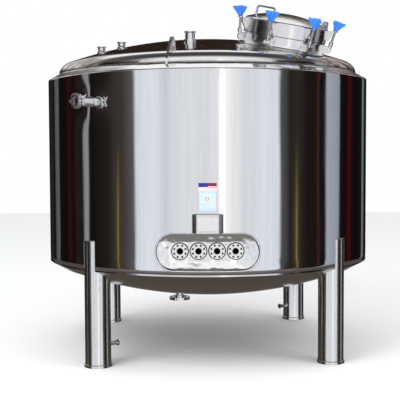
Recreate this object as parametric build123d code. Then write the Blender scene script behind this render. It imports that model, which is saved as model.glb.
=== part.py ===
from build123d import *
import math
import os

# Insulated, mirror-polished storage tank on four tubular legs.
# Origin: tank axis at floor level, +Z up, front of the tank faces -Y.
# Azimuth az runs from the front (-Y) towards +X.

# ---------------------------------------------------------------- driving dimensions (mm)
R_CLAD = 1143.0          # outer cladding radius (90 in diameter)
T_CLAD = 3.0             # cladding sheet
Z_RIM = 1887.0           # top edge of the cylindrical cladding
Z_EDGE = 634.0           # bottom edge of the cylindrical cladding
R_VES = 1068.0           # inner vessel outer radius (84 in diameter + wall)
T_VES = 5.0              # vessel sheet
Z_TOP = 1930.0           # start of the top knuckle
Z_BOT = 700.0            # start of the bottom knuckle
R_KN = 77.0              # knuckle radius of both heads
R_CR = 3010.0            # crown radius of both heads
R_BCR = 2815.0           # crown radius of the bottom cladding
R_BSH = 1045.0           # where the bottom shoulder meets the bottom crown
Z_BSH = 570.0

LEG_AZ = {"front_left": -41.5, "front_right": 48.5, "back_right": 138.5, "back_left": -131.5}
LEG_PCR = 1075.0         # radius of the circle of leg centres
LEG_R = 84.15            # 6 in pipe, 168.3 outside
LEG_T = 7.11
LEG_TOP = 818.0
FOOT_R, FOOT_T = 89.4, 18.0

MW_AZ, MW_RHO = 40.5, 768.0   # manway centre on the dome
NECK_R, NECK_T, NECK_H = 259.0, 5.0, 55.0
RIM_R, RIM_T = 272.0, 8.0
GASK_T = 4.0
COVER_R, COVER_T = 273.0, 4.0
COVER_Z0, COVER_Z1, CROWN_H = 67.0, 153.0, 54.0
HINGE_AL, HINGE_R, HINGE_H = 132.0, 350.0, 175.0
CLAMP_AL = [-73.7, -22.3, 29.1, 80.6]
PIN_R, PIN_H, PIN_RAD = 304.0, 22.0, 8.0
LEAN = 7.8               # swing bolts stand this far outward of upright when loosened
EAR_OUT, EAR_TOP = 305.5, 145.0
HANDLE_AL, HANDLE_R = -48.0, 206.0

os.makedirs("parts", exist_ok=True)


def save(name, *shapes):
    solids = []
    for s in shapes:
        solids += list(s.solids())
    out = solids[0] if len(solids) == 1 else Compound(children=solids)
    out.label = name
    export_step(out, f"parts/{name}.step")
    print(name, len(solids), round(sum(x.volume for x in solids) / 1000.0, 1), "cm3")


def loop(*items):
    """Closed edge loop from points and ('arc', mid) markers, in (radius, z)."""
    edges, pts = [], list(items)
    n, i = len(pts), 0
    while i < n:
        a = pts[i]
        nxt = pts[(i + 1) % n]
        if nxt[0] == "arc":
            b = pts[(i + 2) % n]
            edges.append(ThreePointArc(a, nxt[1], b))
            i += 2
        else:
            edges.append(Line(a, nxt))
            i += 1
    return edges


def rev(*items):
    return revolve(Plane.XZ * make_face(loop(*items)), Axis.Z, 360)


def head_pts(z0, s, off=0.0):
    """Key points of a dished head: start, knuckle middle, tangent, crown middle, apex."""
    cx = R_VES - R_KN
    cz = math.sqrt((R_CR - R_KN) ** 2 - cx ** 2)
    ux, uz = cx / (R_CR - R_KN), s * cz / (R_CR - R_KN)
    zc = z0 - s * cz
    k, c = R_KN - off, R_CR - off
    am = math.atan2(uz, ux) / 2
    th = math.asin(ux) / 2
    return ((cx + k, z0), (cx + k * math.cos(am), z0 + k * math.sin(am)),
            (cx + k * ux, z0 + k * uz), (c * math.sin(th), zc + s * c * math.cos(th)), (0.0, zc + s * c))


def crown_z(rho, z0=Z_TOP, s=1, off=0.0):
    cx = R_VES - R_KN
    zc = z0 - s * math.sqrt((R_CR - R_KN) ** 2 - cx ** 2)
    return zc + s * math.sqrt((R_CR - off) ** 2 - rho ** 2)


def vessel(off=0.0):
    """Filled outline of the inner vessel, shrunk by off."""
    t, b = head_pts(Z_TOP, 1, off), head_pts(Z_BOT, -1, off)
    return rev(b[4], ("arc", b[3]), b[2], ("arc", b[1]), b[0],
               t[0], ("arc", t[1]), t[2], ("arc", t[3]), t[4])


def head(z0, s):
    o, i = head_pts(z0, s), head_pts(z0, s, T_VES)
    return rev(o[0], ("arc", o[1]), o[2], ("arc", o[3]), o[4],
               i[4], ("arc", i[3]), i[2], ("arc", i[1]), i[0])


def bottom_arc(off):
    """Bottom cladding crown: its edge point, middle point and lowest point, off inwards."""
    zc = (Z_BSH + math.sqrt(R_BCR ** 2 - R_BSH ** 2))
    r = R_BCR - off
    re = R_BSH - 0.5 * off
    return ((re, zc - math.sqrt(r * r - re * re)), (re / 2, zc - math.sqrt(r * r - re * re / 4)), (0.0, zc - r))


def at_az(az, rho, z=0.0):
    a = math.radians(az)
    return (rho * math.sin(a), -rho * math.cos(a), z)


def cyl(r, z0, z1, at=(0, 0)):
    return Pos(at[0], at[1], (z0 + z1) / 2) * Cylinder(r, z1 - z0)


def radial(az, z):
    """Frame whose +X points straight out of the tank at azimuth az and height z, +Z up."""
    return Pos(0, 0, z) * Rot(0, 0, az - 90)


def bar_x(r, x0, x1):
    return Pos((x0 + x1) / 2, 0, 0) * Rot(0, 90, 0) * Cylinder(r, x1 - x0)


def bar_y(r, y0, y1, x=0.0, z=0.0):
    return Pos(x, (y0 + y1) / 2, z) * Rot(90, 0, 0) * Cylinder(r, y1 - y0)


def plate_xz(pts, y0, y1):
    """Plate with an (x, z) outline between y0 and y1."""
    f = Plane.XZ * make_face(Polyline(*pts, close=True).edges())
    return Pos(0, y1, 0) * extrude(f, y1 - y0)


# ---------------------------------------------------------------- common cutting bodies
VES = vessel()
legs_xy = {k: at_az(a, LEG_PCR)[:2] for k, a in LEG_AZ.items()}
leg_cut = [cyl(LEG_R + 0.2, -10, LEG_TOP, p) for p in legs_xy.values()]

# recessed instrument panel
REC_Z, REC_YF, REC_YT = 772.0, 1076.0, 1096.0


def slot(w, h, y, z=REC_Z):
    return Plane(origin=(0, -y, z), x_dir=(1, 0, 0), z_dir=(0, -1, 0)) * SlotOverall(w, h)


rec_in = loft([slot(460, 112, REC_YF), slot(638, 225, REC_YT)], ruled=True) + extrude(slot(638, 225, REC_YT), 80)
rec_out = loft([slot(466, 118, REC_YF - 3), slot(644, 231, REC_YT)], ruled=True) + extrude(slot(644, 231, REC_YT), 80)

PORT_Z, PORT_X = 775.0, (-170.25, -56.75, 56.75, 170.25)
NOZ_AZ, NOZ_Z, NOZ_R = -40.0, 1699.0, 31.75
OUT_X, OUT_R = -209.0, 25.4
JP_AZ, JP_Z, JP_R = 180.0, (960.0, 1560.0), 16.7
FERR = [(-727.0, -343.0, 25.4, 32.0, 40.0), (-589.0, -343.0, 25.4, 32.0, 40.0), (-110.0, -690.0, 31.75, 38.75, 64.0)]
LUG_AZ = (-13.0, 167.0)

noz_cut = radial(NOZ_AZ, NOZ_Z) * bar_x(NOZ_R + 0.1, 900, 1300)
jp_cut = [radial(JP_AZ, z) * bar_x(JP_R + 0.1, 1070, 1300) for z in JP_Z]
out_cut = cyl(OUT_R + 0.1, 200, 520, (OUT_X, 0))

# manway frame: origin on the dome, +Z along the dome's normal, +X to the right
tilt = math.asin(MW_RHO / R_CR)
mo = at_az(MW_AZ, MW_RHO, crown_z(MW_RHO))
a_ = math.radians(MW_AZ)
mn = (math.sin(tilt) * math.sin(a_), -math.sin(tilt) * math.cos(a_), math.cos(tilt))
dn = mn[1]                                     # -Y projected on the plane normal to mn
e2 = (dn * mn[0], -1 + dn * mn[1], dn * mn[2])
ln = math.sqrt(sum(c * c for c in e2))
e2 = tuple(c / ln for c in e2)
e1 = (e2[1] * mn[2] - e2[2] * mn[1], e2[2] * mn[0] - e2[0] * mn[2], e2[0] * mn[1] - e2[1] * mn[0])
if e1[0] < 0:
    e1 = tuple(-c for c in e1)
MW = Plane(origin=mo, x_dir=e1, z_dir=mn).location


def mw(al, shape):
    """Place a shape built with +X outward at the manway angle al."""
    return MW * Rot(0, 0, al - 90) * shape


# ---------------------------------------------------------------- inner vessel
top_head = head(Z_TOP, 1) - MW * cyl(NECK_R, -80, 60)
for fx, fy, fr, ff, fh in FERR:
    top_head -= cyl(fr - 0.15, 1900, 2300, (fx, fy))
save("top_head", top_head)

wall = cyl(R_VES, Z_BOT, Z_TOP) - cyl(R_VES - T_VES, Z_BOT - 1, Z_TOP + 1) - noz_cut
for px in PORT_X:
    wall -= Pos(px, 0, PORT_Z) * bar_y(25.1, -1100, -1000)
save("inner_vessel_wall", wall)

save("bottom_head", head(Z_BOT, -1) - out_cut)

# dimple jacket on the vessel wall, above legs and instrument panel
JZ0, JZ1 = 900.0, 1620.0
jacket = rev((R_VES, JZ0), (R_VES + 10, JZ0), (R_VES + 10, JZ1), (R_VES, JZ1), (R_VES, JZ1 - 3), (R_VES + 8, JZ1 - 3),
             (R_VES + 8, JZ0 + 3), (R_VES, JZ0 + 3))
for z in JP_Z:
    jacket -= radial(JP_AZ, z) * bar_x(13.5, R_VES + 2, R_VES + 30)
save("cooling_jacket", jacket)
save("jacket_ports", *[radial(JP_AZ, z) * (bar_x(JP_R, R_VES + 10, R_CLAD + 32.8) - bar_x(12.5, R_VES, R_CLAD + 70) - bar_x(13.5, R_VES, R_CLAD + 5)
                                          - cyl(R_VES + 10, -50, 50)) for z in JP_Z])

# ---------------------------------------------------------------- cladding
Z_SH = Z_RIM - 3.5
shell = cyl(R_CLAD, Z_EDGE, Z_SH) - cyl(R_CLAD - T_CLAD, Z_EDGE - 1, Z_SH + 1)
shell = shell - rec_out - noz_cut
for c in leg_cut + jp_cut:
    shell -= c
save("outer_shell", shell)

save("top_shoulder", rev((R_CLAD, Z_SH), (R_CLAD, Z_RIM), (R_VES, Z_TOP), (R_VES, Z_TOP - 3.5)))

o, i = bottom_arc(0), bottom_arc(T_CLAD)
bclad = rev((R_CLAD, Z_EDGE), (R_CLAD, Z_EDGE - 10), o[0], ("arc", o[1]), o[2], i[2], ("arc", i[1]), i[0],
            (R_CLAD - T_CLAD, Z_EDGE - 8.3), (R_CLAD - T_CLAD, Z_EDGE))
for c in leg_cut:
    bclad -= c
bclad -= out_cut
VENT_X = 172.0
vz = bottom_arc(0)
zc_b = Z_BSH + math.sqrt(R_BCR ** 2 - R_BSH ** 2)
z_vent = zc_b - math.sqrt(R_BCR ** 2 - VENT_X ** 2)
bclad -= cyl(8.1, z_vent - 30, z_vent + 30, (VENT_X, 0))
save("bottom_cladding", bclad)
save("cladding_vent_plug", cyl(14, z_vent - 20, z_vent - 0.9, (VENT_X, 0)) + cyl(8, z_vent - 2, z_vent + 14, (VENT_X, 0)))

# foam between vessel and cladding
foam = rev((0.0, i[2][1]), ("arc", i[1]), i[0], (R_CLAD - T_CLAD, Z_EDGE - 8.3), (R_CLAD - T_CLAD, Z_SH - 2),
           (R_VES, Z_TOP - 6), (0.0, Z_TOP - 6)) - VES
foam = foam - rec_out - noz_cut - out_cut - cyl(14, z_vent - 5, z_vent + 20, (VENT_X, 0))
foam = foam - (cyl(R_VES + 10, JZ0, JZ1) - cyl(R_VES - 1, JZ0 - 1, JZ1 + 1))
for c in leg_cut + jp_cut:
    foam -= c
for px in PORT_X:
    foam -= Pos(px, 0, PORT_Z) * bar_y(25.1, -1100, -1000)
save("insulation_foam", foam)

# ---------------------------------------------------------------- legs
tubes = []
for k, p in legs_xy.items():
    tubes.append(cyl(LEG_R, FOOT_T, LEG_TOP - 6, p) - cyl(LEG_R - LEG_T, FOOT_T - 1, LEG_TOP, p) - VES)
save("leg_tubes", *tubes)
save("leg_caps", *[cyl(LEG_R, LEG_TOP - 6, LEG_TOP, p) - VES for p in legs_xy.values()])
feet = []
for p in legs_xy.values():
    f = cyl(FOOT_R, 0, FOOT_T, p)
    feet.append(chamfer(f.edges().filter_by(GeomType.CIRCLE).sort_by(Axis.Z)[-1], 2.0))
save("foot_plates", *feet)

# earthing bosses: studs with a tapped hole on two legs, pointing under the tank and just past the other legs
bosses = []
for leg, z, turn in (("front_left", 137.0, 30.0), ("back_right", 112.0, 210.0)):
    b = bar_x(12.5, 75, 138) + Pos(131, 0, 0) * Rot(0, 90, 0) * extrude(RegularPolygon(20, 6), 13, both=False)
    b -= bar_x(4.25, 117, 150)
    lx, ly = legs_xy[leg]
    b = Pos(lx, ly, z) * Rot(0, 0, turn) * b - cyl(LEG_R, 0, 300, (lx, ly))
    bosses.append(b)
save("earthing_bosses", *bosses)

# ---------------------------------------------------------------- lifting lugs
lugs = []
ENV_TOP = cyl(R_CLAD, 1000, Z_RIM) + rev((0, Z_RIM), (R_CLAD, Z_RIM), (R_VES, Z_TOP), (0, Z_TOP))
for az in LUG_AZ:
    sk = make_face(Polyline((905, 1980), (908, 2050), (922, 2082), (952, 2098), (984, 2092), (1006, 2068),
                            (1092, 1950), (1097, 1930), (1097, 1880), (905, 1880), close=True).edges())
    lug = Pos(0, 7.5, 0) * extrude(Plane.XZ * sk, 15)
    lug -= bar_y(24, -30, 30, 955, 2054)
    lug = Rot(0, 0, az - 90) * lug - VES - ENV_TOP
    lugs.append(lug)
save("lifting_lugs", *lugs)

# ---------------------------------------------------------------- instrument panel
panel = (rec_out - rec_in) & cyl(R_CLAD, 500, 1100)
for px in PORT_X:
    panel -= Pos(px, 0, PORT_Z) * bar_y(25.1, -1100, -1000)
save("port_recess", panel)

screw_solids, ports = [], []
for n, px in enumerate(PORT_X):
    f = bar_y(49, -REC_YF - 9, -REC_YF) + bar_y(25, -REC_YF, -1046)
    f -= bar_y(17, -1120, -1060)
    f -= bar_y(20, -REC_YF - 0.5, -1000)
    f = chamfer(f.edges().filter_by(GeomType.CIRCLE).filter_by(lambda e: abs(e.radius - 49) < 0.1).sort_by(Axis.Y)[0], 1.5)
    for q in range(8):
        a = math.radians(22.5 + 45 * q)
        f -= bar_y(4, -1120, -1077, 37 * math.cos(a), 37 * math.sin(a))
        s = bar_y(6.5, -REC_YF - 13, -REC_YF - 9, 37 * math.cos(a), 37 * math.sin(a)) \
            + bar_y(4, -REC_YF - 9, -1077, 37 * math.cos(a), 37 * math.sin(a))
        s -= Pos(37 * math.cos(a), -REC_YF - 13, 37 * math.sin(a)) * Rot(-90, 0, 0) * extrude(RegularPolygon(3.2, 6), 2.5)
        screw_solids.append(Pos(px, 0, PORT_Z) * s)
    ports.append(Pos(px, 0, PORT_Z) * f)
save("instrument_ports", *ports)
save("port_screws", *screw_solids)

# ---------------------------------------------------------------- nameplate and labels
by = -(R_CLAD + 30)
hat = make_face(Polyline((-93.5, -math.sqrt(R_CLAD ** 2 - 93.5 ** 2)), (-68, by), (68, by), (93.5, -math.sqrt(R_CLAD ** 2 - 93.5 ** 2)),
                         (90.5, -math.sqrt(R_CLAD ** 2 - 90.5 ** 2)), (66.5, by + 2.5), (-66.5, by + 2.5),
                         (-90.5, -math.sqrt(R_CLAD ** 2 - 90.5 ** 2)), close=True).edges())
save("nameplate_bracket", Pos(0, 0, 889) * extrude(hat, 116) - cyl(R_CLAD, 800, 1100))
npl = Pos(0, by - 0.6, 947) * Box(116, 1.2, 84)
for sx in (-1, 1):
    for sz in (-1, 1):
        npl -= Pos(sx * 52, 0, 947 + sz * 36) * bar_y(1.6, by - 5, by + 5)
rivets = [Pos(sx * 52, 0, 947 + sz * 36) * (bar_y(1.6, by - 1.3, by) + bar_y(3.2, by - 2.8, by - 1.2))
          for sx in (-1, 1) for sz in (-1, 1)]
save("nameplate", npl, *rivets)
ring = cyl(R_CLAD + 0.8, 1000, 1250) - cyl(R_CLAD, 990, 1260)
save("labels", ring & (Pos(0, -R_CLAD, 1168) * Box(110, 60, 52)), ring & (Pos(0, -R_CLAD, 1078.5) * Box(100, 60, 117)))

# ---------------------------------------------------------------- top ferrules
small = []
for n, (fx, fy, fr, ff, fh) in enumerate(FERR):
    z1 = crown_z(math.hypot(fx, fy)) + fh
    zd = crown_z(math.hypot(fx, fy))
    # set-on stub: its foot is bored slightly wider and flared like a drawn collar
    body = rev((fr - 0.15, zd - 14), (fr + 5, zd - 14), (fr + 5, zd + 4), (fr, zd + 12), (fr, z1 - 11), (ff, z1 - 5), (ff, z1),
               (fr - 1.65, z1), (fr - 1.65, zd + 10), (fr - 0.15, zd + 10))
    body = Pos(fx, fy, 0) * body - VES
    if n == 2:
        zc3 = crown_z(math.hypot(fx, fy))
        body += Pos(fx, fy, 0) * (cyl(fr + 8, zc3 - 20, zc3 + 14) - cyl(fr - 0.15, zc3 - 30, zc3 + 10) - cyl(fr - 1, zc3 + 9, zc3 + 30)) - VES
        save("large_top_ferrule", body)
    else:
        small.append(body)
save("small_top_ferrules", *small)

fx, fy, fr, ff, fh = FERR[2]
sp = cyl(12.7, 1925, 2105, (fx, fy)) - cyl(11.1, 1920, 2115, (fx, fy))
sp += cyl(fr - 0.15, 2100, 2103, (fx, fy)) - cyl(12.0, 2090, 2110, (fx, fy))
ball = Sphere(32) - Sphere(30) - cyl(11.1, 0, 60)
for ring_a, cnt in ((-60, 5), (-30, 8), (0, 10), (30, 8)):
    for q in range(cnt):
        ball -= Rot(0, 0, 360 / cnt * q) * Rot(0, -ring_a, 0) * bar_x(1.6, 20, 40)
save("spray_lance", sp, Pos(fx, fy, 1894.4) * ball)

# ---------------------------------------------------------------- side nozzle with clamp and cap
XF = R_CLAD + 118                      # sealing face of the welded ferrule
rn, rf = NOZ_R, 38.75
NF = radial(NOZ_AZ, NOZ_Z)


def turned(*pts):
    """Ring turned about the nozzle axis from (x, radius) points."""
    e = [Line(pts[k], pts[(k + 1) % len(pts)]) for k in range(len(pts))]
    return NF * revolve(Plane.XY * make_face(e), Axis.X, 360)


save("side_nozzle", turned((R_VES - 8, rn - 1.65), (XF, rn - 1.65), (XF, rf), (XF - 3, rf), (XF - 8.5, rn), (R_VES - 8, rn)))
save("nozzle_gasket", turned((XF, rn - 1.65), (XF + 2, rn - 1.65), (XF + 2, rf), (XF, rf)))
save("nozzle_cap", turned((XF + 2, 0), (XF + 2, rf), (XF + 5, rf), (XF + 10.5, 30), (XF + 13, 0)))
grooved = [(XF - 9, 33.6), (XF - 3, 39.1), (XF + 5, 39.1), (XF + 11, 33.6), (XF + 12, 45), (XF + 10, 48), (XF - 8, 48), (XF - 10, 45)]
fe = [Line(grooved[k], grooved[(k + 1) % len(grooved)]) for k in range(len(grooved))]
gf = Plane.XY * make_face(fe)
half = Rot(5, 0, 0) * revolve(gf, Axis.X, 170)      # the half on +Z side
# hinge cheeks at -Y side, bolt ears at +Y side
XM = XF + 1
up = half + Pos(XM, -52, 4.5) * Box(16, 14, 6) + Pos(XM, 55, 9) * Box(16, 20, 9)
up -= Pos(XM, 60, 9) * Box(9.5, 20, 12)
lo_half = Rot(185, 0, 0) * revolve(gf, Axis.X, 170)
lo = lo_half + Pos(XM, -52, -4.5) * Box(16, 14, 6) + Pos(XM, 55, -9) * Box(16, 20, 9)
lo -= Pos(XM, 60, -9) * Box(9.5, 20, 12)
hook = bar_x(4, XM - 9, XM + 9)
up -= Pos(0, -53, 0) * bar_x(4.1, XM - 20, XM + 20)
lo -= Pos(0, -53, 0) * bar_x(4.1, XM - 20, XM + 20)
groove_clear = NF * bar_x(33.5, XF - 40, XF + 40)
save("clamp_half_upper", NF * up - groove_clear)
save("clamp_half_lower", NF * lo - groove_clear)
bolt = Pos(XM, 61, 0) * (Cylinder(4, 58)) + Pos(XM, 61, -24) * Rot(0, 90, 0) * Cylinder(6, 15) + Pos(XM, 61, -17) * Cylinder(8, 6)
save("clamp_bolt_and_pin", NF * bolt, NF * (Pos(0, -53, 0) * bar_x(4, XM - 12, XM + 12)))
wn = cyl(9, 13.9, 27, (XM, 61)) + cyl(7, 27, 31, (XM, 61))
for sgn in (-1, 1):
    w = make_face(Polyline((4, 17), (13, 17), (18, 25), (22, 30.5), (27.5, 36), (26, 40), (20, 38), (12, 28), (4, 26), close=True).edges())
    wing = Pos(0, 2.5, 0) * extrude(Plane.XZ * w, 5)
    wn += Pos(XM, 61, 0) * Rot(0, 0, 90 + 90 * sgn) * wing
wn -= cyl(4.05, 0, 60, (XM, 61))
save("wing_nut", NF * wn)

# ---------------------------------------------------------------- bottom outlet
z_ho = crown_z(abs(OUT_X), Z_BOT, -1)
neck = cyl(OUT_R, 300, z_ho + 9, (OUT_X, 0)) - cyl(OUT_R - 1.65, 290, 341, (OUT_X, 0)) - cyl(OUT_R - 1.2, 340, z_ho + 20, (OUT_X, 0))
fl = cyl(76.2, 298, 318, (OUT_X, 0)) + cyl(38, 318, 330, (OUT_X, 0)) - cyl(OUT_R, 300, 340, (OUT_X, 0)) - cyl(OUT_R - 1.65, 290, 301, (OUT_X, 0))
for q in range(4):
    a = math.radians(45 + 90 * q)
    fl -= cyl(9.5, 280, 340, (OUT_X + 60.325 * math.cos(a), 60.325 * math.sin(a)))
save("bottom_outlet", neck, fl)

# ---------------------------------------------------------------- manway, all in the manway frame
def turn_mw(*items):
    return MW * rev(*items)


nk = rev((NECK_R - NECK_T, -22), (NECK_R, -22), (NECK_R, NECK_H), (RIM_R, NECK_H), (RIM_R, NECK_H + RIM_T),
         (NECK_R - NECK_T, NECK_H + RIM_T))
save("manway_neck", MW * nk)
save("cover_gasket", turn_mw((257, NECK_H + RIM_T + 0.05), (270, NECK_H + RIM_T + 0.05), (270, COVER_Z0), (257, COVER_Z0)))

rc = (COVER_R ** 2 + CROWN_H ** 2) / (2 * CROWN_H)
zk = COVER_Z1 + CROWN_H - rc
th = math.asin(COVER_R / rc)
ri = rc - COVER_T
rin = COVER_R - COVER_T
thi = math.asin(rin / ri)
cov = rev((COVER_R, COVER_Z0), (COVER_R, COVER_Z1), ("arc", (rc * math.sin(th / 2), zk + rc * math.cos(th / 2))), (0.0, zk + rc),
          (0.0, zk + ri), ("arc", (ri * math.sin(thi / 2), zk + ri * math.cos(thi / 2))), (rin, zk + ri * math.cos(thi)),
          (rin, COVER_Z0 + 5), (256, COVER_Z0 + 5), (256, COVER_Z0))
cov = fillet(cov.edges().filter_by(GeomType.CIRCLE).filter_by(lambda e: abs(e.radius - COVER_R) < 0.1).sort_by(Axis.Z)[-1], 14)
save("manway_cover", MW * cov)

RC = cyl(COVER_R, 0, 160)
ears = []
for al in CLAMP_AL:
    for sg in (-1, 1):
        y0, y1 = (9.0, 15.0) if sg > 0 else (-15.0, -9.0)
        p = plate_xz([(268, 82), (283, 82), (EAR_OUT, 118), (EAR_OUT, EAR_TOP), (268, EAR_TOP)], y0, y1) - RC
        ears.append(mw(al, p))
save("cover_ears", *ears)

RN = cyl(NECK_R, -60, 70)
lugp, pins = [], []
for al in CLAMP_AL:
    for sg in (-1, 1):
        y0, y1 = (11.5, 19.5) if sg > 0 else (-19.5, -11.5)
        p = plate_xz([(255, 0), (300, 0), (314, 8), (320, 22), (314, 36), (300, 46), (255, 52)], y0, y1)
        p = p - RN - bar_y(PIN_RAD, -40, 40, PIN_R, PIN_H)
        lugp.append(mw(al, p))
    pins.append(mw(al, bar_y(PIN_RAD, -24, 24, PIN_R, PIN_H) + bar_y(11, 19.6, 24, PIN_R, PIN_H) + bar_y(11, -24, -19.6, PIN_R, PIN_H)))
save("neck_lugs", *lugp)
save("swing_bolt_pins", *pins)

# swing bolt, washer and three-wing knob built upright about the pivot, then leaned outward
L_W0, L_W1, L_K0, L_K1 = 123.4, 128.4, 128.5, 194.0
eye = bar_y(15, -11, 11) + cyl(11, 8, 30) + cyl(8, 10, 184) - bar_y(PIN_RAD + 0.05, -20, 20)
eye += rev((0, 28), (12, 28), (14, 30), (14, 52), (9, 57), (0, 57))
washer = cyl(17, L_W0, L_W1) - cyl(8.05, L_W0 - 1, L_W1 + 1)
knob = rev((0, L_K0), (13, L_K0), (17, L_K0 + 14), (22, L_K1 - 8), (20, L_K1), (0, L_K1))
for q in range(3):
    w = make_face(Polyline((0, 132), (12, 132), (19, 140), (27, 152), (42, 171), (51.5, 183), (50, 190), (43, L_K1), (30, 191), (0, 190), close=True).edges())
    wing = Pos(0, 5.5, 0) * extrude(Plane.XZ * w, 11)
    knob += Rot(0, 0, 120 * q) * wing
knob -= cyl(8.05, L_K0 - 1, 188)
for n, al in enumerate(CLAMP_AL):
    place = MW * Rot(0, 0, al - 90) * Pos(PIN_R, 0, PIN_H) * Rot(0, LEAN, 0)
    save(f"swing_bolt_{n + 1}", place * eye)
    save(f"clamp_washer_{n + 1}", place * washer)
    save(f"clamp_knob_{n + 1}", place * knob)

# cover hinge
hb = []
for y0, y1 in ((20, 30), (-30, -20)):
    p = plate_xz([(255, 2), (300, 2), (352, 40), (372, 100), (372, 182), (362, 195), (338, 195), (328, 182), (318, 100), (296, 50), (255, 50)], y0, y1)
    p = p - RN - bar_y(PIN_RAD, -60, 60, HINGE_R, HINGE_H)
    hb.append(mw(HINGE_AL, p))
save("hinge_bracket", *hb)
arm = plate_xz([(268, 92), (292, 96), (340, 150), (362, 158), (370, 175), (364, 190), (345, 195), (300, 162), (268, 148)], -18, 18)
arm = arm - RC - bar_y(PIN_RAD + 0.05, -60, 60, HINGE_R, HINGE_H)
save("hinge_arm", mw(HINGE_AL, arm))
save("hinge_pin", mw(HINGE_AL, bar_y(PIN_RAD, -36, 36, HINGE_R, HINGE_H) + bar_y(12, 30.1, 36, HINGE_R, HINGE_H) + bar_y(12, -36, -30.1, HINGE_R, HINGE_H)))

# cover handle: bent round bar standing on the crown, tangential
HT = 233.0
path = FilletPolyline((0, -83, 150), (0, -83, HT), (0, 83, HT), (0, 83, 150), radius=24)
bar = sweep(Plane(origin=(0, -83, 150), z_dir=(0, 0, 1)) * Circle(7.5), path=path)
crown_fill = rev((0.0, 0.0), (COVER_R, 0.0), (COVER_R, COVER_Z1), ("arc", (rc * math.sin(th / 2), zk + rc * math.cos(th / 2))), (0.0, zk + rc))
hd = Pos(HANDLE_R, 0, 0) * bar - crown_fill
save("cover_handle", mw(HANDLE_AL, hd))
print("dome origin", mo, "normal", mn, "e1", e1)
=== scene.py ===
import bpy, bmesh, math
from mathutils import Vector, Matrix, Quaternion


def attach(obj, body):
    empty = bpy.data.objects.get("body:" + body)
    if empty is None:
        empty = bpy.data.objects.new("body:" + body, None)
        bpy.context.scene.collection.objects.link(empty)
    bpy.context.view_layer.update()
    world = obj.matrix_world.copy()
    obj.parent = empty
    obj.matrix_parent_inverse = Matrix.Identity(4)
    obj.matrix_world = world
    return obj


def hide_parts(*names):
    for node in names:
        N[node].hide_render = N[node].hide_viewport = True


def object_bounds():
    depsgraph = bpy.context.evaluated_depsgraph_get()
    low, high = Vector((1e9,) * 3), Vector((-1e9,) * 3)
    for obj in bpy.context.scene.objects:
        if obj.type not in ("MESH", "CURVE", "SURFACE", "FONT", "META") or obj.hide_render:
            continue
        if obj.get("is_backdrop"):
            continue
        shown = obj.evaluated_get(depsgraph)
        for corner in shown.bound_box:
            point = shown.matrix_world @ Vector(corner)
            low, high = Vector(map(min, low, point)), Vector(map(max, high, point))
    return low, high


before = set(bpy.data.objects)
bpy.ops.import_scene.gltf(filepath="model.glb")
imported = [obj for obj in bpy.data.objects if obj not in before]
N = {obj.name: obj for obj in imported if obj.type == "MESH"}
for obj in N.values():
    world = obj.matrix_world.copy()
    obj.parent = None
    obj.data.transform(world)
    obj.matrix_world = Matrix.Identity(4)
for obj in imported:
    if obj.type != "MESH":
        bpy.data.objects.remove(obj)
CAD_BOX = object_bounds()
scene = bpy.context.scene

# ------------------------------------------------------------------ sizes (metres), as in the CAD
R_CLAD, T_CLAD, Z_RIM, Z_EDGE, Z_SH = 1.143, 0.003, 1.887, 0.634, 1.8835
R_VES, Z_TOP, R_KN, R_CR = 1.068, 1.930, 0.077, 3.010
LEG_AZ = {"front_left": -41.5, "front_right": 48.5, "back_right": 138.5, "back_left": -131.5}
LEG_PCR, LEG_R, LEG_TOP = 1.075, 0.08415, 0.818
MW_AZ, MW_RHO = 40.5, 0.768
CLAMP_AL = [-73.7, -22.3, 29.1, 80.6]
PIN_R, PIN_H, LEAN = 0.304, 0.022, math.radians(7.8)
HINGE_AL, HINGE_R, HINGE_H = 132.0, 0.350, 0.175
NOZ_AZ, NOZ_Z, NOZ_R = -40.0, 1.699, 0.03175
PORT_X, PORT_Z = (-0.17025, -0.05675, 0.05675, 0.17025), 0.775
REC_Z, REC_YF = 0.772, 1.076
FERR = [(-0.727, -0.343, 0.0254, 0.040), (-0.589, -0.343, 0.0254, 0.040), (-0.110, -0.690, 0.03175, 0.064)]


def crown_z(rho, off=0.0):
    cx = R_VES - R_KN
    zc = Z_TOP - math.sqrt((R_CR - R_KN) ** 2 - cx ** 2)
    return zc + math.sqrt((R_CR - off) ** 2 - rho ** 2)


def at_az(az, rho, z=0.0):
    a = math.radians(az)
    return Vector((rho * math.sin(a), -rho * math.cos(a), z))


tilt = math.asin(MW_RHO / R_CR)
MO = at_az(MW_AZ, MW_RHO, crown_z(MW_RHO))
a_ = math.radians(MW_AZ)
MN = Vector((math.sin(tilt) * math.sin(a_), -math.sin(tilt) * math.cos(a_), math.cos(tilt)))
E2 = (Vector((0, -1, 0)) - MN * Vector((0, -1, 0)).dot(MN)).normalized()
E1 = E2.cross(MN)
if E1.x < 0:
    E1 = -E1
EY = MN.cross(E1)
MWM = Matrix(((E1.x, EY.x, MN.x, MO.x), (E1.y, EY.y, MN.y, MO.y), (E1.z, EY.z, MN.z, MO.z), (0, 0, 0, 1)))


def mw(al):
    return MWM @ Matrix.Rotation(math.radians(al - 90), 4, "Z")


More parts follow.
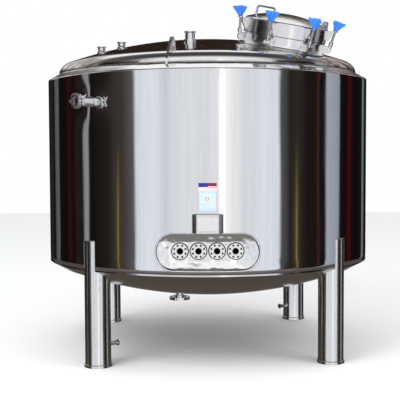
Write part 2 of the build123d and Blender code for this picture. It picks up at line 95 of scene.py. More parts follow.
# ------------------------------------------------------------------ camera
pitch, yaw, roll = math.radians(-2.991), math.radians(-0.512), math.radians(-0.236)
fwd = Vector((math.sin(yaw) * math.cos(pitch), math.cos(yaw) * math.cos(pitch), math.sin(pitch)))
rgt = Vector((math.cos(yaw), -math.sin(yaw), 0))
upv = rgt.cross(fwd)
r2 = math.cos(roll) * rgt + math.sin(roll) * upv
u2 = -math.sin(roll) * rgt + math.cos(roll) * upv
cam_data = bpy.data.cameras.new("camera")
cam_data.sensor_width = 36.0
cam_data.lens = 852.7 / 400.0 * 36.0
cam_data.clip_end = 100.0
cam = bpy.data.objects.new("camera", cam_data)
bpy.context.collection.objects.link(cam)
cam.matrix_world = Matrix(((r2.x, u2.x, -fwd.x, 0.0), (r2.y, u2.y, -fwd.y, -6.2678), (r2.z, u2.z, -fwd.z, 1.3594), (0, 0, 0, 1)))
scene.camera = cam
scene.view_settings.view_transform = "Standard"
scene.view_settings.look = "None"


# ------------------------------------------------------------------ node helpers
class G:
    """Small wrapper for building a node tree."""

    def __init__(self, nt):
        self.nt = nt

    def n(self, kind, **kw):
        node = self.nt.nodes.new(kind)
        for k, v in kw.items():
            setattr(node, k, v)
        return node

    def link(self, a, b):
        self.nt.links.new(a, b)

    def val(self, sock, v):
        if hasattr(v, "is_linked") or hasattr(v, "links"):
            self.link(v, sock)
        else:
            sock.default_value = v

    def math(self, op, a, b=0.0, c=0.0, clamp=False):
        m = self.n("ShaderNodeMath", operation=op, use_clamp=clamp)
        self.val(m.inputs[0], a)
        self.val(m.inputs[1], b)
        self.val(m.inputs[2], c)
        return m.outputs[0]

    def maprange(self, v, a, b, c=0.0, d=1.0, smooth=True):
        m = self.n("ShaderNodeMapRange")
        m.interpolation_type = "SMOOTHSTEP" if smooth else "LINEAR"
        self.val(m.inputs[0], v)
        for i, x in enumerate((a, b, c, d)):
            m.inputs[i + 1].default_value = x
        return m.outputs[0]

    def mix(self, f, a, b):
        m = self.n("ShaderNodeMix", data_type="RGBA")
        self.val(m.inputs[0], f)
        self.val(m.inputs[6], a)
        self.val(m.inputs[7], b)
        return m.outputs[2]

    def ramp(self, fac, stops, lo=0.0, hi=1.0, interp="LINEAR"):
        r = self.n("ShaderNodeValToRGB")
        cr = r.color_ramp
        cr.interpolation = interp
        pts = [((p - lo) / (hi - lo), c) for p, c in stops]
        while len(cr.elements) > 1:
            cr.elements.remove(cr.elements[-1])
        cr.elements[0].position = pts[0][0]
        cr.elements[0].color = (*pts[0][1], 1)
        for p, c in pts[1:]:
            e = cr.elements.new(p)
            e.color = (*c, 1)
        self.link(fac, r.inputs[0])
        return r.outputs[0]


def rgb(*v):
    return (v[0], v[0], v[0]) if len(v) == 1 else tuple(v)


# ------------------------------------------------------------------ studio surroundings
world = bpy.data.worlds.new("studio")
scene.world = world
world.use_nodes = True
world.node_tree.nodes.clear()
g = G(world.node_tree)
tc = g.n("ShaderNodeTexCoord")
sep = g.n("ShaderNodeSeparateXYZ")
g.link(tc.outputs["Generated"], sep.inputs[0])
X, Y, Z = sep.outputs
az = g.math("ARCTAN2", X, g.math("MULTIPLY", Y, -1.0))
azd = g.math("MULTIPLY", az, 180 / math.pi)
absaz = g.math("ABSOLUTE", azd)
LEFT = [(0, rgb(.80, .81, .83)), (12, rgb(.82, .83, .85)), (22, rgb(.80, .81, .85)), (29, rgb(.66, .70, .77)), (34, rgb(.80, .82, .87)),
        (42, rgb(.84, .86, .90)), (49.5, rgb(.74, .77, .82)), (51.5, rgb(.10, .10, .10)), (56, rgb(.080, .072, .068)), (60, rgb(.050, .040, .036)),
        (66, rgb(.042, .034, .030)), (72, rgb(.018, .014, .012)), (88, rgb(.006, .005, .005)), (90, rgb(.02, .02, .02)), (91.5, rgb(.30, .30, .32)),
        (96, rgb(.24, .24, .26)), (98, rgb(.012, .01, .01)), (104, rgb(.02, .013, .012)), (108, rgb(.006, .004, .004)), (114, rgb(.03, .006, .006)),
        (118, rgb(.007, .004, .004)), (129, rgb(.006, .005, .005)), (131, rgb(.12, .12, .125)), (137, rgb(.10, .10, .105)), (140, rgb(.006, .005, .005)),
        (150, rgb(.02, .02, .022)), (160, rgb(.003))]
RIGHT = [(0, rgb(.80, .81, .83)), (7.4, rgb(.85, .86, .87)), (9.0, rgb(1.4)), (10.4, rgb(1.4)), (12.5, rgb(1.04)), (18, rgb(.92)), (25, rgb(.78, .79, .82)),
         (32, rgb(.78, .80, .85)), (42, rgb(.82, .85, .90)), (49.5, rgb(.78, .80, .85)), (51.5, rgb(.085)), (56, rgb(.05)), (58, rgb(.022, .018, .015)),
         (64, rgb(.03, .026, .02)), (72, rgb(.012, .010, .009)), (80, rgb(.012, .008, .007)), (82, rgb(.06, .022, .016)), (84, rgb(.010, .006, .006)),
         (88.5, rgb(.006)), (90.5, rgb(.40, .42, .47)), (103.5, rgb(.30, .33, .38)), (105.5, rgb(.008, .006, .006)), (114, rgb(.008, .003, .004)),
         (118, rgb(.06, .006, .005)), (122, rgb(.012, .004, .004)), (126, rgb(.004)), (142, rgb(.006)), (144.5, rgb(.20, .21, .23)), (149, rgb(.10)),
         (152, rgb(.005)), (180, rgb(.005))]
cl = g.ramp(g.math("DIVIDE", absaz, 180.0), LEFT, 0, 180)
cr_ = g.ramp(g.math("DIVIDE", absaz, 180.0), RIGHT, 0, 180)
ring = g.mix(g.math("GREATER_THAN", azd, 0.0), cl, cr_)
# low warm streaks either side, as from brass-coloured posts standing on the floor
ring = g.mix(g.maprange(absaz, 163, 169), ring, (0.70, 0.71, 0.73, 1))
goff = g.math("ABSOLUTE", g.math("SUBTRACT", absaz, 63.4))
gold = g.math("SUBTRACT", 1.0, g.maprange(goff, 0.0, 4.2))
gcore = g.math("SUBTRACT", 1.0, g.maprange(goff, 0.0, 1.1))
gfade = g.maprange(Z, 0.03, -0.08)
ring = g.mix(g.math("MULTIPLY", gold, gfade), ring, (0.070, 0.050, 0.024, 1))
ring = g.mix(g.math("MULTIPLY", gcore, gfade), ring, (0.25, 0.18, 0.06, 1))
# overhead: measured from the front horizon, over the top, to the back horizon
t = g.math("MULTIPLY", g.math("ARCTAN2", Z, g.math("MULTIPLY", Y, -1.0)), 180 / math.pi)
TOP = [(0, rgb(.80, .81, .83)), (18, rgb(1.0)), (42, rgb(1.0)), (50, rgb(.62, .62, .64)), (60, rgb(.13, .125, .13)), (72, rgb(.05, .045, .05)),
       (96, rgb(.09, .08, .08)), (106, rgb(.20, .19, .19)), (112, rgb(1.05)), (134, rgb(1.05)), (142, rgb(.30, .27, .26)), (148, rgb(.035, .022, .018)),
       (180, rgb(.02, .012, .01))]
top = g.ramp(g.math("DIVIDE", t, 180.0), TOP, 0, 180)
vadd = g.n("ShaderNodeTexNoise")
mp = g.n("ShaderNodeMapping")
g.link(tc.outputs["Generated"], mp.inputs[0])
mp.inputs["Scale"].default_value = (9.0, 9.0, 2.2)
g.link(mp.outputs[0], vadd.inputs["Vector"])
vadd.inputs["Scale"].default_value = 1.0
vadd.inputs["Detail"].default_value = 3.0
streak = g.maprange(vadd.outputs["Fac"], 0.42, 0.58)
side_dim = g.maprange(g.math("ABSOLUTE", X), 0.45, 0.95)
top = g.mix(side_dim, top, (0.10, 0.09, 0.088, 1))
col = g.mix(g.maprange(Z, 0.30, 0.52), ring, top)
back_brown = g.math("MULTIPLY", g.maprange(Z, 0.07, 0.20), g.maprange(Y, 0.2, 0.6))
back_brown = g.math("MULTIPLY", back_brown, g.math("SUBTRACT", 1.0, g.maprange(Z, 0.60, 0.70)))
col = g.mix(back_brown, col, (0.022, 0.013, 0.010, 1))
# bright banks high on either side, towards the back
bank = g.math("MULTIPLY", g.maprange(absaz, 96, 112), g.math("SUBTRACT", 1.0, g.maprange(absaz, 154, 170)))
bank = g.math("MULTIPLY", bank, g.math("MULTIPLY", g.maprange(Z, 0.14, 0.24), g.math("SUBTRACT", 1.0, g.maprange(Z, 0.60, 0.72))))
right_side = g.math("GREATER_THAN", azd, 0.0)
bank_col = g.mix(streak, g.mix(right_side, (0.74, 0.72, 0.72, 1), (0.50, 0.44, 0.43, 1)), g.mix(right_side, (0.34, 0.31, 0.30, 1), (0.07, 0.045, 0.04, 1)))
col = g.mix(bank, col, bank_col)
low = g.mix(g.maprange(Y, -0.6, 0.4), (0.20, 0.19, 0.18, 1), (0.085, 0.072, 0.062, 1))
low_front = g.maprange(Z, -0.36, -0.64)
low_back = g.maprange(Z, -0.14, -0.30)
going_back = g.maprange(Y, -0.10, 0.35)
low_f = g.math("ADD", g.math("MULTIPLY", low_back, going_back), g.math("MULTIPLY", low_front, g.math("SUBTRACT", 1.0, going_back)))
col = g.mix(low_f, col, low)
lp = g.n("ShaderNodeLightPath")
bg_reflect = g.n("ShaderNodeBackground")
g.link(col, bg_reflect.inputs[0])
bg_reflect.inputs[1].default_value = 1.0
bg_diff = g.n("ShaderNodeBackground")
bg_diff.inputs[0].default_value = (0.97, 0.985, 1.0, 1)
bg_diff.inputs[1].default_value = 1.05
bg_cam = g.n("ShaderNodeBackground")
bg_cam.inputs[0].default_value = (1, 1, 1, 1)
bg_cam.inputs[1].default_value = 1.0
m1 = g.n("ShaderNodeMixShader")
g.link(lp.outputs["Is Diffuse Ray"], m1.inputs[0])
g.link(bg_reflect.outputs[0], m1.inputs[1])
g.link(bg_diff.outputs[0], m1.inputs[2])
m2 = g.n("ShaderNodeMixShader")
g.link(lp.outputs["Is Camera Ray"], m2.inputs[0])
g.link(m1.outputs[0], m2.inputs[1])
g.link(bg_cam.outputs[0], m2.inputs[2])
out = g.n("ShaderNodeOutputWorld")
g.link(m2.outputs[0], out.inputs[0])


def area(name, loc, target, size, power, glossy=False):
    d = bpy.data.lights.new(name, "AREA")
    d.shape = "RECTANGLE"
    d.size, d.size_y = size
    d.energy = power
    o = bpy.data.objects.new(name, d)
    bpy.context.collection.objects.link(o)
    o.location = loc
    o.rotation_euler = (Vector(target) - Vector(loc)).to_track_quat("-Z", "Y").to_euler()
    o.visible_glossy = glossy
    return o


area("key", (-3.5, -4.5, 5.5), (0, 0, 1.0), (4, 4), 260)
area("fill", (4.5, -3.0, 4.0), (0, 0, 1.0), (3, 3), 90)


# ------------------------------------------------------------------ materials
def new_mat(name):
    m = bpy.data.materials.new(name)
    m.use_nodes = True
    nt = m.node_tree
    for nd in list(nt.nodes):
        if nd.type != "OUTPUT_MATERIAL" and nd.type != "BSDF_PRINCIPLED":
            nt.nodes.remove(nd)
    gg = G(nt)
    b = nt.nodes["Principled BSDF"]
    tcn = gg.n("ShaderNodeTexCoord")
    return m, gg, b, tcn.outputs["Object"]


def scaled(gg, co, s):
    mp = gg.n("ShaderNodeMapping")
    gg.link(co, mp.inputs[0])
    mp.inputs["Scale"].default_value = s
    return mp.outputs[0]


def noise(gg, co, s, scale=1.0, detail=2.0, rough=0.5):
    nz = gg.n("ShaderNodeTexNoise")
    gg.link(scaled(gg, co, s), nz.inputs["Vector"])
    nz.inputs["Scale"].default_value = scale
    nz.inputs["Detail"].default_value = detail
    nz.inputs["Roughness"].default_value = rough
    return nz.outputs["Fac"]


def bump(gg, b, h, dist, strength=1.0, chain=None):
    bp = gg.n("ShaderNodeBump")
    bp.inputs["Strength"].default_value = strength
    bp.inputs["Distance"].default_value = dist
    gg.link(h, bp.inputs["Height"])
    if chain is not None:
        gg.link(chain, bp.inputs["Normal"])
    return bp.outputs["Normal"]


def soft_edge(gg, radius):
    bv = gg.n("ShaderNodeBevel")
    bv.samples = 4
    bv.inputs["Radius"].default_value = radius
    return bv.outputs["Normal"]


def steel(name, base, r0, r1, grain=(60, 60, 2), wave=0.0, grain_h=0.00002, spots=0.0, wave_s=(1.5, 1.5, 0.8), tint=0.03, edge=0.0):
    m, gg, b, co = new_mat(name)
    b.inputs["Metallic"].default_value = 1.0
    gr = noise(gg, co, grain, 1.0, 3.0, 0.6)
    cloud = noise(gg, co, (3, 3, 3), 1.0, 3.0, 0.55)
    rr = gg.math("ADD", gg.maprange(gr, 0.3, 0.7, r0, r1), gg.maprange(cloud, 0.35, 0.75, 0.0, (r1 - r0) * 0.7))
    gg.link(rr, b.inputs["Roughness"])
    dark = tuple(c * (1 - tint) for c in base)
    colr = gg.mix(cloud, (*base, 1), (*dark, 1))
    if spots:
        sp = noise(gg, co, (24, 24, 24), 1.0, 4.0, 0.7)
        colr = gg.mix(gg.math("MULTIPLY", gg.maprange(sp, 0.56, 0.72), spots), colr, tuple(c * 0.55 for c in base) + (1,))
    gg.link(colr, b.inputs["Base Color"])
    nrm = bump(gg, b, gr, grain_h, 1.0, soft_edge(gg, edge) if edge else None)
    if wave:
        wv = noise(gg, co, wave_s, 1.0, 1.5, 0.4)
        nrm = bump(gg, b, wv, wave, 1.0, nrm)
    gg.link(nrm, b.inputs["Normal"])
    return m


NOZ_C = tuple(at_az(NOZ_AZ, R_CLAD, NOZ_Z))


def mirror_sheet():
    """Mirror-polished wrap: faint upright polishing lines, long waves, rolled edges, and the pull of the nozzle weld."""
    m, gg, b, co = new_mat("mirror_sheet")
    b.inputs["Metallic"].default_value = 1.0
    gr = noise(gg, co, (70, 70, 1.2), 1.0, 3.0, 0.6)
    cloud = noise(gg, co, (3, 3, 3), 1.0, 3.0, 0.55)
    gg.link(gg.math("ADD", gg.maprange(gr, 0.3, 0.7, 0.025, 0.06), gg.maprange(cloud, 0.35, 0.75, 0.0, 0.035)), b.inputs["Roughness"])
    fine = noise(gg, co, (34, 34, 0.9), 1.0, 4.0, 0.65)
    colr = gg.mix(gg.maprange(fine, 0.35, 0.7), (.865, .87, .88, 1), (.80, .81, .83, 1))
    gg.link(colr, b.inputs["Base Color"])
    sp = gg.n("ShaderNodeSeparateXYZ")
    gg.link(co, sp.inputs[0])
    z = sp.outputs[2]
    # rolled edges: the sheet turns in over its last few millimetres
    lo = gg.math("MAXIMUM", gg.math("SUBTRACT", 0.662, z), 0.0)
    hi = gg.math("MAXIMUM", gg.math("SUBTRACT", z, 1.876), 0.0)
    h = gg.math("ADD", gg.math("MULTIPLY", gg.math("MULTIPLY", lo, lo), -19.0), gg.math("MULTIPLY", gg.math("MULTIPLY", hi, hi), -62.0))
    sub = gg.n("ShaderNodeVectorMath", operation="SUBTRACT")
    gg.link(co, sub.inputs[0])
    sub.inputs[1].default_value = NOZ_C
    ln = gg.n("ShaderNodeVectorMath", operation="LENGTH")
    gg.link(sub.outputs[0], ln.inputs[0])
    d = gg.math("DIVIDE", ln.outputs["Value"], 0.100)
    dim = gg.math("POWER", 2.718, gg.math("MULTIPLY", gg.math("MULTIPLY", d, d), -1.0))
    h = gg.math("ADD", h, gg.math("MULTIPLY", dim, 0.012))
    wv = noise(gg, co, (1.7, 1.7, 0.9), 1.0, 1.5, 0.4)
    wv2 = noise(gg, co, (5.5, 5.5, 1.1), 1.0, 1.0, 0.4)
    # the wrap is less flat towards its lower edge, where it is welded to the dished bottom
    low = gg.maprange(z, 1.35, 0.68, 0.25, 1.0)
    h = gg.math("ADD", h, gg.math("MULTIPLY", wv, 0.0030))
    h = gg.math("ADD", h, gg.math("MULTIPLY", gg.math("MULTIPLY", wv2, low), 0.0016))
    rim = gg.maprange(z, 1.80, 1.885)
    wv3 = noise(gg, co, (7, 7, 9), 1.0, 1.0, 0.4)
    h = gg.math("ADD", h, gg.math("MULTIPLY", gg.math("MULTIPLY", wv3, rim), 0.0016))
    foot = gg.maprange(z, 0.76, 0.655)
    h = gg.math("ADD", h, gg.math("MULTIPLY", gg.math("MULTIPLY", wv3, foot), 0.0022))
    n1 = bump(gg, b, h, 1.0)
    gg.link(bump(gg, b, gr, 0.000007, 1.0, n1), b.inputs["Normal"])
    return m


M_MIRROR = mirror_sheet()
M_SHOULDER = steel("shoulder_sheet", (.86, .86, .87), 0.04, 0.09, (40, 40, 40), wave=0.0030, grain_h=0.000008, wave_s=(5, 5, 9))
M_HEAD = steel("head_sheet", (.82, .81, .80), 0.07, 0.13, (30, 30, 30), wave=0.0018, grain_h=0.00001, wave_s=(1.1, 1.1, 1.1))
M_BOTTOM = steel("bottom_sheet", (.80, .78, .76), 0.09, 0.17, (36, 36, 36), wave=0.0040, grain_h=0.00002, wave_s=(2, 2, 2))
M_RECESS = steel("pressed_sheet", (.93, .93, .93), 0.07, 0.12, (40, 40, 40), wave=0.012, grain_h=0.00002, wave_s=(13, 13, 16))
M_LEG = steel("leg_pipe", (.84, .84, .85), 0.12, 0.21, (160, 160, 5), wave=0.0003, grain_h=0.00003, wave_s=(6, 6, 2), spots=0.2)
M_SATIN = steel("satin_steel", (.84, .84, .84), 0.10, 0.20, (120, 120, 120), grain_h=0.00003, spots=0.25, edge=0.0016)
M_PORT = steel("machined_face", (.95, .95, .95), 0.12, 0.20, (200, 200, 200), grain_h=0.00002, spots=0.12, edge=0.0012)
M_CAST = steel("cast_steel", (.84, .84, .84), 0.13, 0.24, (200, 200, 200), grain_h=0.00009, spots=0.3, edge=0.0022)
M_BRIGHT = steel("turned_steel", (.86, .86, .86), 0.07, 0.14, (300, 300, 60), grain_h=0.00001, edge=0.0012)
M_BLACK = steel("blackened_screws", (.10, .10, .10), 0.22, 0.34, (300, 300, 300), grain_h=0.00003, edge=0.0010)
M_VESSEL = steel("mill_steel", (.62, .62, .63), 0.30, 0.42, (90, 90, 90), grain_h=0.00003)
M_WELD = steel("weld_bead", (.60, .58, .56), 0.26, 0.42, (150, 150, 150), grain_h=0.0001, spots=0.5, tint=0.2)


def brushed_about(name, origin, axis, base, r0, r1):
    """Satin finish with fine grain running round an axis."""
    m, gg, b, co = new_mat(name)
    b.inputs["Metallic"].default_value = 1.0
    sub = gg.n("ShaderNodeVectorMath", operation="SUBTRACT")
    gg.link(co, sub.inputs[0])
    sub.inputs[1].default_value = origin
    dot = gg.n("ShaderNodeVectorMath", operation="DOT_PRODUCT")
    gg.link(sub.outputs[0], dot.inputs[0])
    dot.inputs[1].default_value = axis
    ln = gg.n("ShaderNodeVectorMath", operation="LENGTH")
    gg.link(sub.outputs[0], ln.inputs[0])
    comb = gg.n("ShaderNodeCombineXYZ")
    gg.link(gg.math("MULTIPLY", dot.outputs["Value"], 420.0), comb.inputs[0])
    gg.link(gg.math("MULTIPLY", ln.outputs["Value"], 160.0), comb.inputs[1])
    nz = gg.n("ShaderNodeTexNoise")
    gg.link(comb.outputs[0], nz.inputs["Vector"])
    nz.inputs["Scale"].default_value = 1.0
    nz.inputs["Detail"].default_value = 3.0
    cloud = noise(gg, co, (7, 7, 7), 1.0, 3.0)
    gg.link(gg.math("ADD", gg.maprange(nz.outputs["Fac"], 0.3, 0.7, r0, r1), gg.maprange(cloud, 0.35, 0.7, 0, 0.06)), b.inputs["Roughness"])
    gg.link(gg.mix(cloud, (*base, 1), tuple(c * 0.93 for c in base) + (1,)), b.inputs["Base Color"])
    gg.link(bump(gg, b, nz.outputs["Fac"], 0.00003), b.inputs["Normal"])
    return m


M_COVER = brushed_about("brushed_cover", tuple(MO), tuple(MN), (.90, .895, .89), 0.11, 0.21)


def plastic(name, c0, c1, rough, h, scale, edge=0.0):
    m, gg, b, co = new_mat(name)
    cloud = noise(gg, co, (20, 20, 20), 1.0, 3.0)
    gr = noise(gg, co, (scale,) * 3, 1.0, 2.0)
    gg.link(gg.mix(cloud, (*c0, 1), (*c1, 1)), b.inputs["Base Color"])
    gg.link(gg.maprange(gr, 0.3, 0.7, rough - 0.05, rough + 0.07), b.inputs["Roughness"])
    gg.link(bump(gg, b, gr, h, 1.0, soft_edge(gg, edge) if edge else None), b.inputs["Normal"])
    return m


M_BLUE = plastic("blue_plastic", (.050, .26, .90), (.035, .20, .76), 0.34, 0.00006, 500, 0.004)
M_RUBBER = plastic("rubber", (.02, .02, .02), (.035, .035, .035), 0.62, 0.00008, 400, 0.001)
M_FOAM = plastic("foam", (.80, .70, .44), (.74, .62, .36), 0.85, 0.0010, 120)
M_DARK = plastic("dark_inside", (.004, .004, .004), (.007, .007, .007), 0.7, 0.0001, 100)

# nameplate: blank etched plate with faint ruled lines
M_PLATE, gg, b, co = new_mat("nameplate_plate")
sx = gg.n("ShaderNodeSeparateXYZ")
gg.link(co, sx.inputs[0])
saw = gg.math("FRACT", gg.math("MULTIPLY", gg.math("SUBTRACT", sx.outputs[2], 0.905), 1 / 0.0125))
line = gg.math("MULTIPLY", gg.math("LESS_THAN", saw, 0.13), gg.math("LESS_THAN", gg.math("ABSOLUTE", sx.outputs[0]), 0.046))
gr = noise(gg, co, (30, 30, 600), 1.0, 2.0)
gg.link(gg.mix(line, (.93, .93, .93, 1), (.55, .56, .58, 1)), b.inputs["Base Color"])
b.inputs["Metallic"].default_value = 0.85
gg.link(gg.maprange(gr, 0.3, 0.7, 0.30, 0.42), b.inputs["Roughness"])
gg.link(bump(gg, b, line, -0.0001), b.inputs["Normal"])

# labels: plain colour bands and a dot, no lettering
M_LABEL, gg, b, co = new_mat("label_print")
sx = gg.n("ShaderNodeSeparateXYZ")
gg.link(co, sx.inputs[0])
LX, LZ = sx.outputs[0], sx.outputs[2]


def box2(gg, x0, x1, z0, z1):
    f = gg.math("MULTIPLY", gg.math("GREATER_THAN", LX, x0), gg.math("LESS_THAN", LX, x1))
    f2 = gg.math("MULTIPLY", gg.math("GREATER_THAN", LZ, z0), gg.math("LESS_THAN", LZ, z1))
    return gg.math("MULTIPLY", f, f2)


paper = noise(gg, co, (40, 40, 40), 1.0, 2.0)
c = gg.mix(paper, (.58, .68, .80, 1), (.53, .64, .78, 1))
c = gg.mix(gg.math("GREATER_THAN", LZ, 1.1395), c, (.68, .60, .64, 1))
c = gg.mix(box2(gg, -0.055, 0.002, 1.169, 1.196), c, (.012, .016, .26, 1))
c = gg.mix(box2(gg, 0.002, 0.056, 1.174, 1.196), c, (.17, .012, .03, 1))
c = gg.mix(box2(gg, 0.002, 0.056, 1.164, 1.169), c, (.62, .22, .27, 1))
dx = gg.math("SUBTRACT", LX, -0.003)
dz = gg.math("SUBTRACT", LZ, 1.098)
dd = gg.math("SQRT", gg.math("ADD", gg.math("MULTIPLY", dx, dx), gg.math("MULTIPLY", dz, dz)))
c = gg.mix(gg.math("LESS_THAN", dd, 0.0115), c, (.80, .20, .06, 1))
c = gg.mix(gg.math("LESS_THAN", dd, 0.0055), c, (.86, .89, .94, 1))
c = gg.mix(box2(gg, -0.034, 0.034, 1.0705, 1.0725), c, (.45, .50, .60, 1))
c = gg.mix(box2(gg, -0.026, 0.026, 1.0495, 1.0510), c, (.60, .66, .74, 1))
gg.link(c, b.inputs["Base Color"])
b.inputs["Roughness"].default_value = 0.42
gg.link(bump(gg, b, paper, 0.00004), b.inputs["Normal"])



def bolt_material(i):
    """Bright turned steel with a rolled thread over the upper part of one swing bolt."""
    m, gg, b, co = new_mat("bolt_%d" % i)
    b.inputs["Metallic"].default_value = 1.0
    b.inputs["Base Color"].default_value = (.84, .84, .84, 1)
    fr = mw(CLAMP_AL[(i - 1) % len(CLAMP_AL)])
    pin = fr @ Vector((PIN_R, 0, PIN_H))
    ax = (fr.to_3x3() @ Vector((math.sin(LEAN), 0, math.cos(LEAN)))).normalized()
    sub = gg.n("ShaderNodeVectorMath", operation="SUBTRACT")
    gg.link(co, sub.inputs[0])
    sub.inputs[1].default_value = tuple(pin)
    dot = gg.n("ShaderNodeVectorMath", operation="DOT_PRODUCT")
    gg.link(sub.outputs[0], dot.inputs[0])
    dot.inputs[1].default_value = tuple(ax)
    L = dot.outputs["Value"]
    tooth = gg.math("PINGPONG", L, 0.001)
    on = gg.maprange(L, 0.060, 0.063)
    gr = noise(gg, co, (260, 260, 260), 1.0, 2.0)
    gg.link(gg.maprange(gr, 0.3, 0.7, 0.08, 0.18), b.inputs["Roughness"])
    gg.link(bump(gg, b, gg.math("MULTIPLY", tooth, on), 0.9, 1.0, soft_edge(gg, 0.0012)), b.inputs["Normal"])
    return m


MATS = {"outer_shell": M_MIRROR, "top_shoulder": M_SHOULDER, "bottom_cladding": M_BOTTOM, "top_head": M_HEAD, "inner_vessel_wall": M_VESSEL,
        "bottom_head": M_VESSEL, "insulation_foam": M_FOAM, "cooling_jacket": M_VESSEL, "leg_tubes": M_LEG, "leg_caps": M_LEG,
        "port_recess": M_RECESS, "nameplate": M_PLATE, "labels": M_LABEL, "manway_neck": M_COVER, "manway_cover": M_COVER,
        "cover_gasket": M_RUBBER, "nozzle_gasket": M_RUBBER, "clamp_half_upper": M_CAST, "clamp_half_lower": M_CAST, "wing_nut": M_CAST,
        "port_screws": M_BLACK, "instrument_ports": M_PORT, "swing_bolt_pins": M_BRIGHT, "hinge_pin": M_BRIGHT, "clamp_bolt_and_pin": M_BRIGHT}
for name, ob in N.items():
    if name.startswith("clamp_knob"):
        mt = M_BLUE
    elif name.startswith("swing_bolt_") and name[-1].isdigit():
        mt = bolt_material(int(name[-1]))
    elif name.startswith("clamp_washer"):
        mt = M_BRIGHT
    else:
        mt = MATS.get(name, M_SATIN)
    ob.data.materials.clear()
    ob.data.materials.append(mt)


# ------------------------------------------------------------------ mesh helpers
def link_obj(name, me, mat, body="tank", smooth=True, parent_m=None):
    if smooth:
        me.polygons.foreach_set("use_smooth", [True] * len(me.polygons))
    me.materials.append(mat)
    o = bpy.data.objects.new(name, me)
    bpy.context.collection.objects.link(o)
    if parent_m is not None:
        me.transform(parent_m)
    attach(o, body)
    return o


def bead(name, pts, r=0.0026, body="tank", closed=True, mat=None, m=None, ripple=0.16, seg=8):
    """A weld bead: a tube along points whose thickness ripples like stacked puddles."""
    P = [Vector(p) for p in pts]
    # resample evenly
    L = [0.0]
    Q = P + ([P[0]] if closed else [])
    for i in range(len(Q) - 1):
        L.append(L[-1] + (Q[i + 1] - Q[i]).length)
    step = max(0.0028, L[-1] / 1400)
    n = max(8, int(L[-1] / step))
    R, j = [], 0
    for k in range(n if closed else n + 1):
        s = L[-1] * k / n
        while j < len(L) - 2 and L[j + 1] < s:
            j += 1
        f = (s - L[j]) / max(1e-9, L[j + 1] - L[j])
        R.append(Q[j].lerp(Q[j + 1], f))
    verts, faces = [], []
    prev = None
    for i, p in enumerate(R):
        a = R[i - 1] if (closed or i > 0) else R[0]
        c2 = R[(i + 1) % len(R)] if (closed or i < len(R) - 1) else R[-1]
        tdir = (c2 - a).normalized()
        if prev is None:
            ref = Vector((0, 0, 1)) if abs(tdir.z) < 0.8 else Vector((1, 0, 0))
            u = (ref - tdir * ref.dot(tdir)).normalized()
        else:
            u = (prev - tdir * prev.dot(tdir)).normalized()
        prev = u
        v = tdir.cross(u)
        rr = r * (1 + ripple * math.sin(i * 1.7) + 0.5 * ripple * math.sin(i * 0.37 + 1.0))
        for q in range(seg):
            an = 2 * math.pi * q / seg
            verts.append(p + u * (rr * math.cos(an)) + v * (rr * math.sin(an)))
    m_ = len(R)
    for i in range(m_ if closed else m_ - 1):
        i2 = (i + 1) % m_
        for q in range(seg):
            q2 = (q + 1) % seg
            faces.append((i * seg + q, i * seg + q2, i2 * seg + q2, i2 * seg + q))
    if not closed:
        faces.append(tuple(range(seg))[::-1])
        faces.append(tuple((m_ - 1) * seg + q for q in range(seg)))
    me = bpy.data.meshes.new(name)
    me.from_pydata(verts, [], faces)
    bm = bmesh.new()
    bm.from_mesh(me)
    bmesh.ops.recalc_face_normals(bm, faces=bm.faces)
    bm.to_mesh(me)
    bm.free()
    return link_obj(name, me, mat or M_WELD, body, True, m)


def circle(c, ax, r, n=96, z_of=None):
    ax = Vector(ax).normalized()
    ref = Vector((1, 0, 0)) if abs(ax.x) < 0.9 else Vector((0, 1, 0))
    u = (ref - ax * ref.dot(ax)).normalized()
    v = ax.cross(u)
    return [Vector(c) + u * (r * math.cos(2 * math.pi * k / n)) + v * (r * math.sin(2 * math.pi * k / n)) for k in range(n)]


# ------------------------------------------------------------------ pressed instrument panel
def obround(w, h, n_arc=36, n_line=20):
    """Points round a flat-sided oval in x and z about (0, REC_Z); same count for any size."""
    r, s = h / 2, (w - h) / 2
    pts = []
    for k in range(n_line):
        pts.append((-s + 2 * s * k / n_line, r))
    for k in range(n_arc):
        an = math.pi / 2 - math.pi * k / n_arc
        pts.append((s + r * math.cos(an), r * math.sin(an)))
    for k in range(n_line):
        pts.append((s - 2 * s * k / n_line, -r))
    for k in range(n_arc):
        an = -math.pi / 2 - math.pi * k / n_arc
        pts.append((-s + r * math.cos(an), r * math.sin(an)))
    return pts


